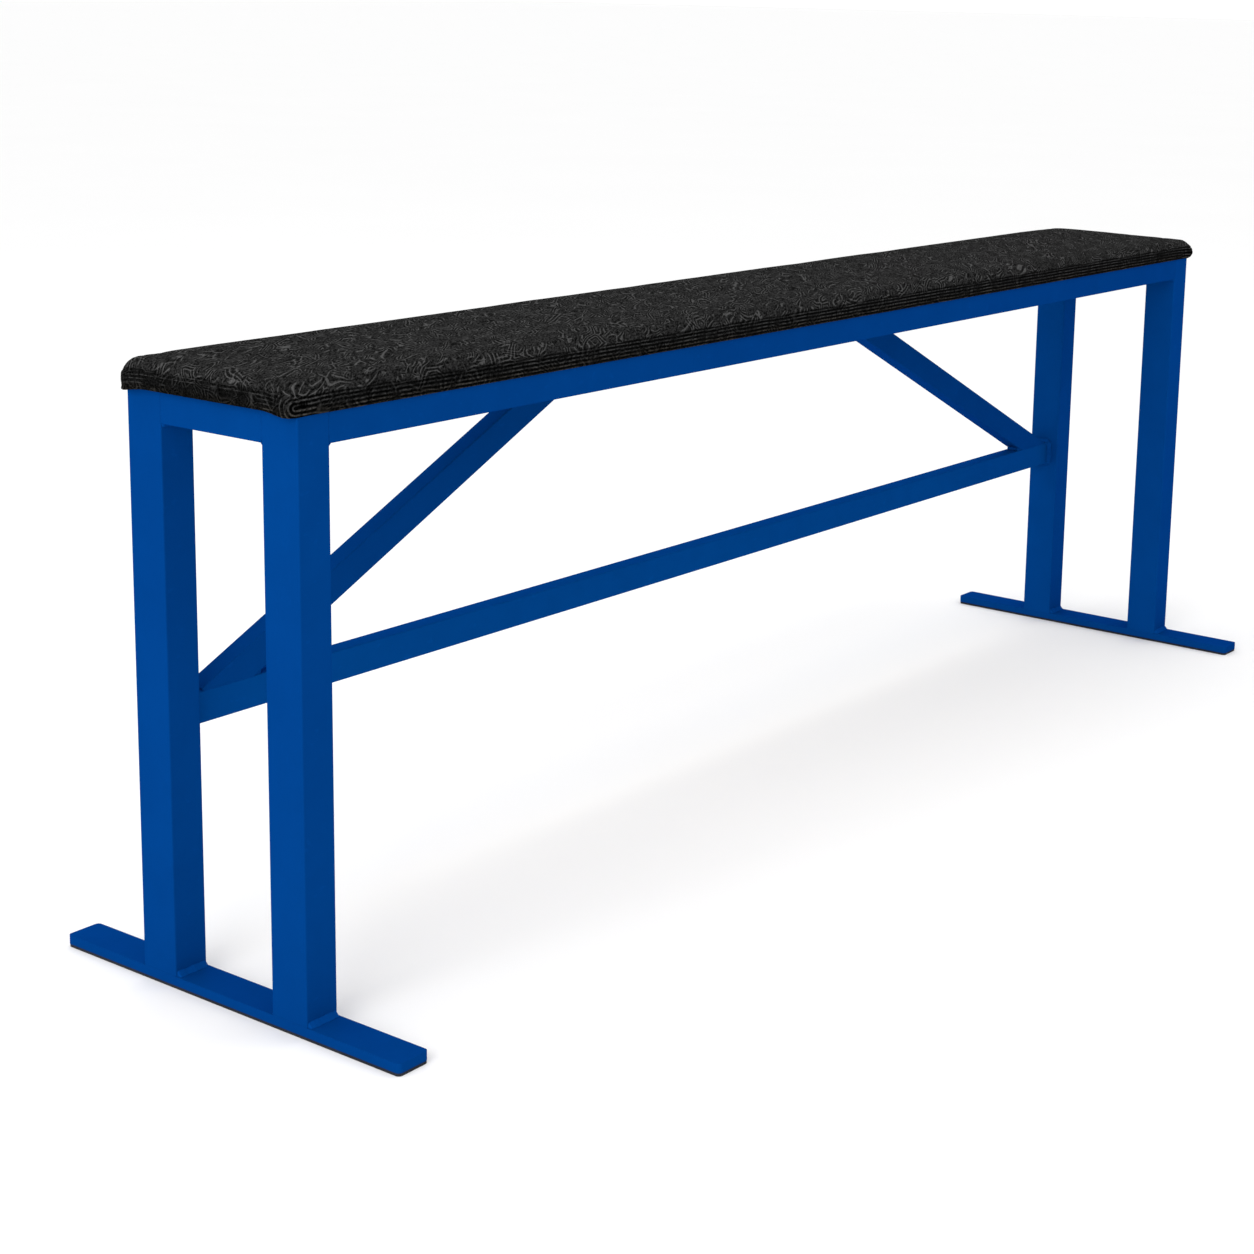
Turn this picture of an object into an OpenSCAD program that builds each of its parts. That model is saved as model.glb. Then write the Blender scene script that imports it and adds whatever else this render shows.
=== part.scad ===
// Padded high bench: welded steel tube frame with a carpeted, foam topped deck.
// Millimetres, +Z up. Origin on the floor, at the centre of the footprint.
// The long axis runs along X, the mid-height rail and its braces are on the +Y side.

/* [Frame] */
// Length over the outer faces of the posts
frame_length = 2320; // [1700:10:2600]
// Width over the outer faces of the posts
frame_width = 295; // [270:5:360]
// Height of the top of the steel frame above the floor
frame_height = 762; // [700:1:820]

/* [Posts] */
// Post size along the bench
post_x = 50; // [45:1:60]
// Post size across the bench
post_y = 60; // [50:1:70]
// Wall thickness of every tube
tube_wall = 3; // [2:0.5:4]
// Outside corner radius of the posts
post_r = 2; // [2:0.5:6]
// Thickness of the plates closing the post tops
cap_t = 3; // [2:0.5:5]

/* [Top frame] */
// Height of the top rails
rail_h = 40; // [35:1:50]
// Width of the top rails
rail_w = 40; // [35:1:45]
// Outside corner radius of rails, stretcher and braces
rail_r = 2; // [2:0.5:5]

/* [Stretcher and braces] */
// Underside of the mid-height stretcher above the floor
stretcher_z = 327; // [280:1:380]
// Height of the stretcher and depth of the braces
stretcher_h = 42; // [35:1:45]
// Width of the stretcher and the braces
stretcher_w = 30; // [25:1:35]
// Distance from mid-length to the inner edge of a brace at the top rail
brace_top_x = 272.5; // [200:0.5:340]
// Gap between the brace toe and the post, along the stretcher
brace_gap = 13; // [6:0.5:30]

/* [Feet] */
// Length of the foot bars, across the bench
foot_length = 600; // [500:5:700]
// Thickness of the foot bars
foot_t = 12; // [8:1:16]
// Corner radius of the foot bars seen from above
foot_r = 6; // [3:0.5:10]
// Thickness of the rubber strip under each foot bar
strip_t = 4; // [3:0.5:6]
// Distance the rubber strip stands back from the bar edge
strip_inset = 0.5; // [0.5:0.5:3]

/* [Deck] */
// Overhang of the padded deck past the posts at each end
deck_over_x = 15; // [8:1:20]
// Overhang of the padded deck past the posts at each side
deck_over_y = 3; // [1:0.5:8]
// Thickness of the plywood board
board_t = 15; // [12:1:18]
// Thickness of the foam sheet
foam_t = 12; // [12:1:20]
// Thickness of the carpet cover
cover_t = 3.5; // [2.5:0.5:4]
// Radius of the padded edge and corners
edge_r = 14; // [10:0.5:14]
// How far the turned-under cover reaches inside the top rails
turn_in = 7; // [6:1:15]

/* [Fixings] */
// Length of a deck tab along the rail
tab_l = 50; // [40:1:60]
// Reach of a deck tab from the rail
tab_reach = 38; // [32:1:44]
// Thickness of a deck tab
tab_t = 5; // [4:0.5:6]
// Radius of the weld beads at the feet
weld_foot = 6; // [4:0.5:7]
// Radius of the other weld beads
weld_r = 4.5; // [3:0.5:5]

/* [Hidden] */
$fn = 64;
hx = frame_length / 2;
hy = frame_width / 2;
foot_top = strip_t + foot_t;
rail_bot = frame_height - rail_h;
rail_len = frame_length - 2 * post_x;
rail_cy = hy - rail_w / 2;
end_len = frame_width - 2 * post_y;
str_cy = hy - rail_w + stretcher_w / 2;
str_top = stretcher_z + stretcher_h;
brace_rise = rail_bot - str_top;
// the brace leans so that its outer face stops brace_gap short of the post
brace_run0 = hx - post_x - brace_gap - brace_top_x;
brace_a = brace_angle(24);
brace_foot = stretcher_h / sin(brace_a);
brace_run = brace_rise / tan(brace_a);
deck_x = frame_length + 2 * deck_over_x;
deck_y = frame_width + 2 * deck_over_y;
board_z = frame_height + cover_t;
foam_z = board_z + board_t;
cover_top = foam_z + foam_t + cover_t;
in_r = edge_r - cover_t;
pitch = (rail_len - 130) / 11;
tab_xs = [-4 * pitch, 0, 4 * pitch];
tab_z = frame_height - rail_r - tab_t;
bolt_y = hy - rail_w - tab_reach / 2 - 2;
staple_y = hy - rail_w - 3.5;
staple_x = hx - rail_w - 3.5;
return_x = deck_over_x + rail_w + turn_in;
return_y = deck_over_y + rail_w + turn_in;

// angle at which run + footprint of the brace fill the space up to the gap
function brace_angle(a, n = 0) = n > 40 ? a :
    brace_angle(atan((brace_rise + stretcher_h / cos(a)) / brace_run0), n + 1);

// ---------- helpers ----------
module rrect(w, h, r) {
    square([w - 2 * r, h], center = true);
    square([w, h - 2 * r], center = true);
    for (x = [-1, 1], y = [-1, 1]) translate([x * (w / 2 - r), y * (h / 2 - r)]) circle(r);
}
module tube2d(w, h, r) {
    difference() {
        rrect(w, h, r);
        rrect(w - 2 * tube_wall, h - 2 * tube_wall, max(r - tube_wall, 0.8));
    }
}
// tube of length l along +Z, centred in plan
module tube(w, h, r, l) linear_extrude(l) tube2d(w, h, r);
// tube along X, centred on the origin: w across Y, h up
module tube_x(l, w, h, r) translate([-l / 2, 0, 0]) rotate([90, 0, 90]) tube(w, h, r, l);
// tube along Y, centred on the origin: w across X, h up
module tube_y(l, w, h, r) translate([0, l / 2, 0]) rotate([90, 0, 0]) tube(w, h, r, l);
module rod_x(l, r) translate([-l / 2, 0, 0]) rotate([0, 90, 0]) cylinder(h = l, r = r);
module rod_y(l, r) translate([0, l / 2, 0]) rotate([90, 0, 0]) cylinder(h = l, r = r);
// slab with rounded plan corners and rounded top edges, standing on z = 0
module soft_slab(lx, ly, h, r) {
    intersection() {
        linear_extrude(h) rrect(lx, ly, r);
        translate([-lx / 2 - 1, 0, 0]) rotate([90, 0, 90]) linear_extrude(lx + 2) soft2d(ly, h, r);
        translate([0, ly / 2 + 1, 0]) rotate([90, 0, 0]) linear_extrude(ly + 2) soft2d(lx, h, r);
    }
}
module soft2d(w, h, r) {
    translate([-w / 2, 0]) square([w, h - r]);
    translate([-w / 2 + r, 0]) square([w - 2 * r, h]);
    for (x = [-1, 1]) translate([x * (w / 2 - r), h - r]) circle(r);
}
module post() {
    color([0.03, 0.2, 0.55]) translate([0, 0, foot_top])
        tube(post_x, post_y, post_r, frame_height - foot_top);
}
module foot_plan(inset) rrect(post_x - 2 * inset, foot_length - 2 * inset, foot_r - inset);
module at_posts() for (x = [-1, 1], y = [-1, 1])
    translate([x * (hx - post_x / 2), y * (hy - post_y / 2), 0]) children();
module at_bolts() for (x = tab_xs, y = [-1, 1]) translate([x, y * bolt_y, 0]) children();
module at_staples(grow = 0) {
    for (i = [0 : 11], y = [-1, 1]) translate([(i - 5.5) * pitch, y * staple_y, 0]) staple(grow);
    for (x = [-1, 1], y = [-70, 0, 70]) translate([x * staple_x, y, 0]) rotate([0, 0, 90]) staple(grow);
}
module staple(grow) {
    translate([-5.5, -0.65, frame_height - 0.6]) cube([11, 1.3, 0.6]);
    for (x = [-5.2, 5.2]) translate([x - 0.3 - grow, -0.65 - grow, frame_height - 0.1])
        cube([0.6 + 2 * grow, 1.3 + 2 * grow, 9 + grow]);
}

// ---------- frame ----------
module post_near_front() translate([-hx + post_x / 2, -hy + post_y / 2, 0]) post();
module post_near_rear() translate([-hx + post_x / 2, hy - post_y / 2, 0]) post();
module post_far_front() translate([hx - post_x / 2, -hy + post_y / 2, 0]) post();
module post_far_rear() translate([hx - post_x / 2, hy - post_y / 2, 0]) post();

module post_caps() color([0.03, 0.2, 0.55]) at_posts()
    translate([0, 0, frame_height - cap_t]) linear_extrude(cap_t)
        rrect(post_x - 2 * tube_wall, post_y - 2 * tube_wall, max(post_r - tube_wall, 0.8));

module top_rail_front() color([0.03, 0.22, 0.58])
    translate([0, -rail_cy, rail_bot + rail_h / 2]) tube_x(rail_len, rail_w, rail_h, rail_r);
module top_rail_rear() color([0.03, 0.22, 0.58])
    translate([0, rail_cy, rail_bot + rail_h / 2]) tube_x(rail_len, rail_w, rail_h, rail_r);
module end_rail_near() color([0.03, 0.22, 0.58])
    translate([-hx + rail_w / 2, 0, rail_bot + rail_h / 2]) tube_y(end_len, rail_w, rail_h, rail_r);
module end_rail_far() color([0.03, 0.22, 0.58])
    translate([hx - rail_w / 2, 0, rail_bot + rail_h / 2]) tube_y(end_len, rail_w, rail_h, rail_r);

module stretcher() color([0.03, 0.22, 0.58])
    translate([0, str_cy, stretcher_z + stretcher_h / 2])
        tube_x(rail_len, stretcher_w, stretcher_h, rail_r);

// brace on the +X side: a leaning tube cut level on the stretcher and under the rail
module brace() intersection() {
    translate([brace_top_x, str_cy, rail_bot]) rotate([0, brace_a, 0])
        translate([0, 0, stretcher_h / 2]) tube_x(2 * (brace_run + 160), stretcher_w, stretcher_h, rail_r);
    translate([0, str_cy - stretcher_w, str_top]) cube([hx - post_x, 2 * stretcher_w, brace_rise]);
}
module brace_near() color([0.03, 0.22, 0.58]) mirror([1, 0, 0]) brace();
module brace_far() color([0.03, 0.22, 0.58]) brace();

module foot_bar_near() color([0.03, 0.19, 0.5])
    translate([-hx + post_x / 2, 0, strip_t]) linear_extrude(foot_t) foot_plan(0);
module foot_bar_far() color([0.03, 0.19, 0.5])
    translate([hx - post_x / 2, 0, strip_t]) linear_extrude(foot_t) foot_plan(0);
module foot_strip_near() color([0.05, 0.05, 0.05])
    translate([-hx + post_x / 2, 0, 0]) linear_extrude(strip_t) foot_plan(strip_inset);
module foot_strip_far() color([0.05, 0.05, 0.05])
    translate([hx - post_x / 2, 0, 0]) linear_extrude(strip_t) foot_plan(strip_inset);

// ---------- welds ----------
module weld_beads_feet() color([0.05, 0.24, 0.6]) difference() {
    at_posts() for (s = [-1, 1]) translate([0, s * post_y / 2, foot_top])
        rod_x(post_x - 2 * foot_r, weld_foot);
    translate([-hx - 5, -foot_length / 2, 0]) cube([frame_length + 10, foot_length, foot_top]);
    at_posts() translate([-post_x / 2 - 1, -post_y / 2, 0]) cube([post_x + 2, post_y, 40]);
}

module weld_beads_top_frame() color([0.05, 0.24, 0.6]) for (x = [-1, 1], y = [-1, 1])
    mirror([x < 0 ? 1 : 0, 0, 0]) mirror([0, y < 0 ? 1 : 0, 0]) {
        // long rail to post: along the underside, up the inner side
        difference() {
            union() {
                translate([hx - post_x, hy - rail_w / 2, rail_bot]) rod_y(rail_w - 2 * rail_r, weld_r);
                translate([hx - post_x, hy - rail_w, rail_bot + rail_r]) cylinder(h = rail_h - 2 * rail_r - 1, r = weld_r);
            }
            translate([0, hy - rail_w, rail_bot]) cube([hx, rail_w + 10, rail_h + 10]);
            translate([hx - post_x, hy - post_y, 0]) cube([post_x + 10, post_y + 10, frame_height]);
            translate([hx - rail_w, 0, rail_bot - 5]) cube([rail_w, hy - post_y, rail_h + 10]);
        }
        // end rail to post
        difference() {
            translate([hx - rail_w / 2, hy - post_y, rail_bot]) rod_x(rail_w - 2 * rail_r, weld_r);
            translate([hx - rail_w, 0, rail_bot]) cube([rail_w, hy - post_y, rail_h]);
            translate([hx - post_x, hy - post_y, 0]) cube([post_x, post_y, frame_height]);
        }
    }

// one bead on each side of the tube, stopping at its rounded corners
module weld_beads_stretcher() color([0.05, 0.24, 0.6]) for (x = [-1, 1]) mirror([x < 0 ? 1 : 0, 0, 0])
    difference() {
        union() {
            for (z = [0, stretcher_h]) translate([hx - post_x, str_cy, stretcher_z + z])
                rod_y(stretcher_w - 2 * rail_r, weld_r);
            for (y = [-1, 1]) translate([hx - post_x, str_cy + y * stretcher_w / 2, stretcher_z + rail_r])
                cylinder(h = stretcher_h - 2 * rail_r, r = weld_r);
        }
        translate([0, str_cy - stretcher_w / 2, stretcher_z]) cube([hx - post_x, stretcher_w, stretcher_h]);
        translate([hx - post_x, 0, 0]) cube([post_x, hy, frame_height]);
    }

// across the toe and the heel of each brace, top and bottom
module weld_beads_braces() color([0.05, 0.24, 0.6]) for (x = [-1, 1]) mirror([x < 0 ? 1 : 0, 0, 0])
    difference() {
        for (p = [[brace_top_x, rail_bot], [brace_top_x + brace_foot, rail_bot],
                  [brace_top_x + brace_run, str_top], [brace_top_x + brace_run + brace_foot, str_top]])
            translate([p[0], str_cy, p[1]]) rod_y(stretcher_w - 2 * rail_r, weld_r);
        translate([0, 0, rail_bot]) cube([hx, hy, rail_h]);
        translate([0, 0, stretcher_z]) cube([hx, hy, stretcher_h]);
        translate([0, str_cy + stretcher_w, 0]) rotate([90, 0, 0]) linear_extrude(2 * stretcher_w)
            polygon([[brace_top_x, rail_bot], [brace_top_x + brace_foot, rail_bot],
                     [brace_top_x + brace_run + brace_foot, str_top], [brace_top_x + brace_run, str_top]]);
    }

module weld_beads_tabs() color([0.05, 0.24, 0.6]) for (x = tab_xs, y = [-1, 1])
    difference() {
        translate([x, y * (hy - rail_w), tab_z]) rod_x(tab_l - 8, 3);
        translate([x - tab_l, y * rail_cy - rail_w / 2, rail_bot]) cube([2 * tab_l, rail_w, rail_h]);
        translate([x - tab_l / 2, y * (hy - rail_w - tab_reach / 2) - tab_reach / 2, tab_z])
            cube([tab_l, tab_reach, tab_t]);
    }

// ---------- deck ----------
module deck_tabs() color([0.03, 0.2, 0.55]) for (x = tab_xs, y = [-1, 1])
    translate([x, y * (hy - rail_w - tab_reach / 2), tab_z]) difference() {
        translate([-tab_l / 2, -tab_reach / 2, 0]) cube([tab_l, tab_reach, tab_t]);
        translate([0, -y * 2, -1]) cylinder(h = tab_t + 2, r = 4.5);
    }

module deck_core(h) soft_slab(deck_x - 2 * cover_t, deck_y - 2 * cover_t, h, in_r);

module deck_board() color([0.72, 0.55, 0.35]) difference() {
    translate([0, 0, board_z]) linear_extrude(board_t) rrect(deck_x - 2 * cover_t, deck_y - 2 * cover_t, in_r);
    at_bolts() {
        translate([0, 0, board_z - 1]) cylinder(h = board_t + 2, r = 5.2);
        translate([0, 0, foam_z - 1.5]) cylinder(h = 3, r = 10);
    }
    at_staples(0.05);
}

module foam_pad() color([0.55, 0.55, 0.55])
    translate([0, 0, foam_z]) soft_slab(deck_x - 2 * cover_t, deck_y - 2 * cover_t, foam_t, in_r);

module carpet_cover() color([0.1, 0.1, 0.1]) difference() {
    translate([0, 0, frame_height]) soft_slab(deck_x, deck_y, cover_top - frame_height, edge_r);
    translate([0, 0, board_z]) deck_core(board_t + foam_t);
    translate([-deck_x / 2 + return_x, -deck_y / 2 + return_y, frame_height - 1])
        cube([deck_x - 2 * return_x, deck_y - 2 * return_y, cover_t + 2]);
    at_staples(0.05);
}

module deck_bolts() color([0.6, 0.6, 0.62]) at_bolts() {
    translate([0, 0, tab_z - 1.6 - 5.3]) intersection() {
        cylinder(h = 5.3, r = 7.5, $fn = 6);
        cylinder(h = 5.3, r1 = 6.6, r2 = 11.9);
    }
    translate([0, 0, tab_z - 1.6 - 0.5]) cylinder(h = 25, r = 4);
    translate([0, 0, tab_z - 1.6 + 24.5]) cylinder(h = 1, r1 = 4, r2 = 3);
}
module deck_washers() color([0.66, 0.66, 0.68]) at_bolts() translate([0, 0, tab_z - 1.6]) difference() {
    cylinder(h = 1.6, r = 8);
    translate([0, 0, -1]) cylinder(h = 4, r = 4.2);
}
module tee_nuts() color([0.66, 0.66, 0.68]) at_bolts() difference() {
    union() {
        translate([0, 0, foam_z - 1.5]) cylinder(h = 1.5, r = 9.5);
        translate([0, 0, foam_z - 11]) cylinder(h = 10, r = 5);
    }
    translate([0, 0, foam_z - 12]) cylinder(h = 13, r = 4.1);
}
module cover_staples() color([0.6, 0.6, 0.6]) at_staples(0);

post_near_front();
post_near_rear();
post_far_front();
post_far_rear();
post_caps();
top_rail_front();
top_rail_rear();
end_rail_near();
end_rail_far();
stretcher();
brace_near();
brace_far();
foot_bar_near();
foot_bar_far();
foot_strip_near();
foot_strip_far();
weld_beads_feet();
weld_beads_top_frame();
weld_beads_stretcher();
weld_beads_braces();
weld_beads_tabs();
deck_tabs();
deck_board();
foam_pad();
carpet_cover();
deck_bolts();
deck_washers();
tee_nuts();
cover_staples();
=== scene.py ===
import math

import bmesh
import bpy
import numpy as np
from mathutils import Matrix, Vector, kdtree, noise


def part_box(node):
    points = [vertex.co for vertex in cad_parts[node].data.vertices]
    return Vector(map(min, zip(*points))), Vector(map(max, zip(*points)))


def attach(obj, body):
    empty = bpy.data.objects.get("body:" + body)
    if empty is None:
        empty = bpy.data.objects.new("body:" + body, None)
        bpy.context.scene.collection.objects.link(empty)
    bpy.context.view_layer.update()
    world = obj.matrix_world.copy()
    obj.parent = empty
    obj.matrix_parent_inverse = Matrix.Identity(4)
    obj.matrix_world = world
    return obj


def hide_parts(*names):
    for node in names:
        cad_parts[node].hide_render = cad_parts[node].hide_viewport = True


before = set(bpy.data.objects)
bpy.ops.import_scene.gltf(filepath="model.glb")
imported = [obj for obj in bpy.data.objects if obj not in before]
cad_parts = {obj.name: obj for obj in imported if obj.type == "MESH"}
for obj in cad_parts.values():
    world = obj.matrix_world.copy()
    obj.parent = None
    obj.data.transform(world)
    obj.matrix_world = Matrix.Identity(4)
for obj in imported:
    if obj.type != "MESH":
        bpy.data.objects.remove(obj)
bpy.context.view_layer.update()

scene = bpy.context.scene
MM = 0.001


# ------------------------------------------------------------------ measures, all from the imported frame, in mm
def mm_box(node):
    lo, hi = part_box(node)
    return np.array(lo) / MM, np.array(hi) / MM


POST_LO, POST_HI = mm_box("post_far_rear")
RAIL_LO, RAIL_HI = mm_box("top_rail_rear")
ERAIL_LO, ERAIL_HI = mm_box("end_rail_far")
STR_LO, STR_HI = mm_box("stretcher")
BRACE_LO, BRACE_HI = mm_box("brace_far")
FOOT_LO, FOOT_HI = mm_box("foot_bar_far")
TAB_LO, TAB_HI = mm_box("deck_tabs")
PAD_LO, PAD_HI = mm_box("carpet_cover")
BOARD_LO, BOARD_HI = mm_box("deck_board")
X0, X1 = float(POST_LO[0]), float(POST_HI[0])  # post, inner and outer X face
YI, YO = float(POST_LO[1]), float(POST_HI[1])  # post, inner and outer Y face
ZF = float(FOOT_HI[2])  # top of the foot bars
ZR = float(RAIL_LO[2])  # underside of the top rails
ZT = float(RAIL_HI[2])  # top of the frame
YR = float(RAIL_LO[1])  # inner face of the long rails
XE = float(ERAIL_LO[0])  # inner face of the end rails
ZS0, ZS1 = float(STR_LO[2]), float(STR_HI[2])
YS0, YS1 = float(STR_LO[1]), float(STR_HI[1])


# ------------------------------------------------------------------ node material helpers
class Mat:
    """A node material under construction. Sockets may be given as numbers, colours or other nodes' outputs."""

    def __init__(self, name):
        self.mat = bpy.data.materials.new(name)
        self.mat.use_nodes = True
        self.nt = self.mat.node_tree
        self.nt.nodes.clear()
        self.out = self.nt.nodes.new("ShaderNodeOutputMaterial")
        self.bsdf = self.nt.nodes.new("ShaderNodeBsdfPrincipled")
        self.nt.links.new(self.bsdf.outputs[0], self.out.inputs["Surface"])
        self.coord = self.nt.nodes.new("ShaderNodeTexCoord").outputs["Object"]

    def put(self, socket, value):
        if isinstance(value, bpy.types.NodeSocket):
            self.nt.links.new(value, socket)
        else:
            socket.default_value = value

    def set(self, **kw):
        for k, v in kw.items():
            self.put(self.bsdf.inputs[k.replace("_", " ")], v)

    def m(self, op, a, b=0.0, c=0.0, clamp=False):
        n = self.nt.nodes.new("ShaderNodeMath")
        n.operation, n.use_clamp = op, clamp
        for s, v in zip(n.inputs, (a, b, c)):
            self.put(s, v)
        return n.outputs[0]

    def ramp(self, v, a, b, lo=0.0, hi=1.0, smooth=True):
        n = self.nt.nodes.new("ShaderNodeMapRange")
        n.interpolation_type = "SMOOTHSTEP" if smooth else "LINEAR"
        for k, x in zip(("Value", "From Min", "From Max", "To Min", "To Max"), (v, a, b, lo, hi)):
            self.put(n.inputs[k], x)
        return n.outputs[0]

    def place(self, scale=(1, 1, 1), shift=(0, 0, 0), turn=(0, 0, 0), kind="POINT"):
        n = self.nt.nodes.new("ShaderNodeMapping")
        n.vector_type = kind
        self.put(n.inputs["Vector"], self.coord)
        n.inputs["Scale"].default_value = scale
        n.inputs["Location"].default_value = shift
        n.inputs["Rotation"].default_value = turn
        return n.outputs[0]

    def noise(self, scale, detail=2.0, rough=0.5, dist=0.0, vec=None):
        n = self.nt.nodes.new("ShaderNodeTexNoise")
        self.put(n.inputs["Vector"], self.coord if vec is None else vec)
        for k, x in (("Scale", scale), ("Detail", detail), ("Roughness", rough), ("Distortion", dist)):
            self.put(n.inputs[k], x)
        return n.outputs[0]

    def mix(self, fac, a, b, blend="MIX"):
        n = self.nt.nodes.new("ShaderNodeMix")
        n.data_type, n.blend_type = "RGBA", blend
        self.put(n.inputs[0], fac)
        self.put(n.inputs[6], a)
        self.put(n.inputs[7], b)
        return n.outputs[2]

    def attr(self, name):
        n = self.nt.nodes.new("ShaderNodeAttribute")
        n.attribute_name = name
        return n.outputs["Fac"]

    def bump(self, height, strength, distance, normal=None):
        n = self.nt.nodes.new("ShaderNodeBump")
        self.put(n.inputs["Strength"], strength)
        self.put(n.inputs["Distance"], distance)
        self.put(n.inputs["Height"], height)
        if normal is not None:
            self.put(n.inputs["Normal"], normal)
        return n.outputs[0]

    def edge(self, radius):
        """0 on flat faces, rising towards 1 at a convex or concave edge."""
        b = self.nt.nodes.new("ShaderNodeBevel")
        b.samples = 4
        b.inputs["Radius"].default_value = radius
        g = self.nt.nodes.new("ShaderNodeNewGeometry")
        d = self.nt.nodes.new("ShaderNodeVectorMath")
        d.operation = "DOT_PRODUCT"
        self.put(d.inputs[0], b.outputs[0])
        self.put(d.inputs[1], g.outputs["Normal"])
        return self.ramp(d.outputs["Value"], 0.995, 0.80), b.outputs[0]


def paint(name, base, light, weld=False):
    """Satin blue stove enamel on steel: slow tone drift, orange peel, faint scuffs, edges brighter from wear and
    painted highlight.
    """
    a = Mat(name)
    drift = a.ramp(a.noise(3.2, 3.0, 0.55), 0.3, 0.7)
    cloud = a.ramp(a.noise(17.0, 4.0, 0.6), 0.32, 0.7)
    col = a.mix(a.m("MULTIPLY", drift, 0.55), base, light)
    col = a.mix(a.m("MULTIPLY", cloud, 0.30), col, tuple(c * 0.86 for c in base[:3]) + (1,))
    # edges turn lighter: partly wear, partly a painted highlight along every rounded edge
    edge, soft = a.edge(0.0016)
    edge_wear_and_highlight = a.m("MULTIPLY", edge, a.ramp(a.noise(70.0, 3.0, 0.6), 0.35, 0.65, 0.25, 0.8))
    col = a.mix(edge_wear_and_highlight, col, tuple(min(1, c * 1.16 + 0.0005) for c in light[:3]) + (1,))
    # long fine rub marks, lighter and a little rougher, spread all over
    scratch = a.ramp(a.noise(60.0, 2.0, 0.5, vec=a.place(scale=(1.0, 9.0, 1.6), turn=(0.3, 0.5, 0.9))), 0.66, 0.72)
    col = a.mix(a.m("MULTIPLY", scratch, 0.16), col, tuple(min(1, c * 1.4 + 0.001) for c in light[:3]) + (1,))
    peel = a.noise(620.0 if not weld else 380.0, 2.0, 0.55)
    wave = a.noise(42.0, 2.0, 0.5)
    nrm = a.bump(peel, 0.10, 0.0004, soft)
    nrm = a.bump(wave, 0.10, 0.0012, nrm)
    rough = a.ramp(a.noise(26.0, 4.0, 0.6), 0.3, 0.72, 0.36, 0.52)
    rough = a.m("ADD", rough, a.m("MULTIPLY", scratch, 0.12))
    a.set(Base_Color=col, Roughness=rough, Normal=nrm, Specular_IOR_Level=0.0)
    a.bsdf.inputs["Metallic"].default_value = 0.12
    a.bsdf.inputs["Specular Tint"].default_value = (0.02, 0.24, 1.0, 1.0)
    return a.mat


# near-black strips under the foot bars, bumped and faintly mottled
def near_black_strip():
    a = Mat("near_black_foot_strip")
    n = a.noise(300.0, 4.0, 0.65)
    g = a.noise(22.0, 3.0, 0.5)
    col = a.mix(a.ramp(g, 0.35, 0.7), (0.004, 0.006, 0.012, 1), (0.011, 0.013, 0.020, 1))
    a.set(Base_Color=col, Roughness=a.ramp(n, 0.3, 0.7, 0.72, 0.92), Normal=a.bump(n, 0.5, 0.0005),
          Specular_IOR_Level=0.3)
    return a.mat


def plywood():
    """Birch ply, grain along the board, with dark pores."""
    a = Mat("birch_plywood")
    grain = a.noise(9.0, 8.0, 0.62, 0.5, vec=a.place(scale=(0.7, 9.0, 9.0)))
    fine = a.noise(60.0, 4.0, 0.6, vec=a.place(scale=(0.35, 8.0, 8.0)))
    pore = a.ramp(a.noise(240.0, 1.0, 0.5, vec=a.place(scale=(0.06, 1.6, 1.6))), 0.60, 0.70)
    col = a.mix(a.ramp(grain, 0.32, 0.7), (0.60, 0.40, 0.21, 1), (0.36, 0.20, 0.09, 1))
    col = a.mix(a.m("MULTIPLY", fine, 0.35), col, (0.70, 0.52, 0.31, 1))
    col = a.mix(a.m("MULTIPLY", pore, 0.55), col, (0.14, 0.07, 0.03, 1))
    a.set(Base_Color=col, Roughness=a.ramp(fine, 0.3, 0.7, 0.58, 0.76), Specular_IOR_Level=0.3,
          Normal=a.bump(a.m("ADD", fine, a.m("MULTIPLY", pore, -0.8)), 0.35, 0.0005))
    return a.mat


def zinc(name, tint):
    a = Mat(name)
    n = a.noise(160.0, 4.0, 0.6)
    s = a.noise(700.0, 2.0, 0.5, vec=a.place(scale=(1, 1, 0.15)))
    col = a.mix(a.ramp(n, 0.3, 0.7), tint, tuple(c * 0.72 for c in tint[:3]) + (1,))
    a.set(Base_Color=col, Roughness=a.ramp(n, 0.3, 0.7, 0.28, 0.46), Normal=a.bump(s, 0.2, 0.0002))
    a.bsdf.inputs["Metallic"].default_value = 0.92
    return a.mat


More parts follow.
